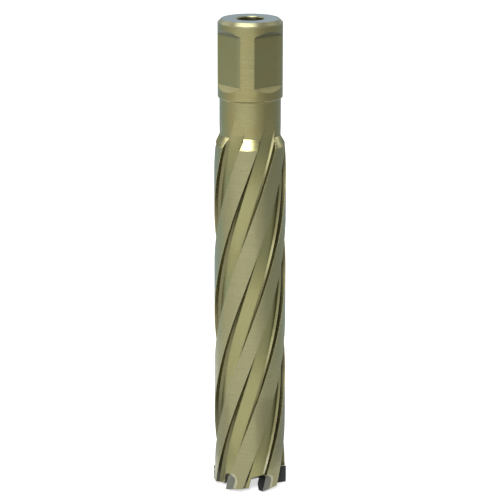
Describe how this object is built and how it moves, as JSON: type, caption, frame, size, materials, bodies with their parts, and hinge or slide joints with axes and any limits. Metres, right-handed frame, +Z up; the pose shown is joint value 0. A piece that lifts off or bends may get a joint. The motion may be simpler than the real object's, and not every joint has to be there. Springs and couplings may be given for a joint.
{
  "type": "annular cutter",
  "caption": "Long hollow hole cutter with helical flutes, carbide tips brazed into its open end and a side-lock shank with clamping flats and a pilot pin bore.",
  "frame": {"origin": "centre of the circle that the six cutting edges touch, on the surface that the cutter stands on", "axes": "+Z up the cutter's axis towards the shank, and the clamping flats of the shank face -Y and -X"},
  "size_m": [0.0218, 0.0216, 0.142],
  "materials": {
    "coated_steel": "satin olive gold coating over turned and milled steel",
    "carbide": "ground dark grey carbide",
    "braze": "pale braze metal, slightly uneven"
  },
  "bodies": {
    "root": {"cutter_body": "coated_steel", "carbide_tip_1": "carbide", "carbide_tip_2": "carbide", "carbide_tip_3": "carbide", "carbide_tip_4": "carbide", "carbide_tip_5": "carbide", "carbide_tip_6": "carbide", "braze_seam_1": "braze", "braze_seam_2": "braze", "braze_seam_3": "braze", "braze_seam_4": "braze", "braze_seam_5": "braze", "braze_seam_6": "braze"}
  },
  "joints": []
}
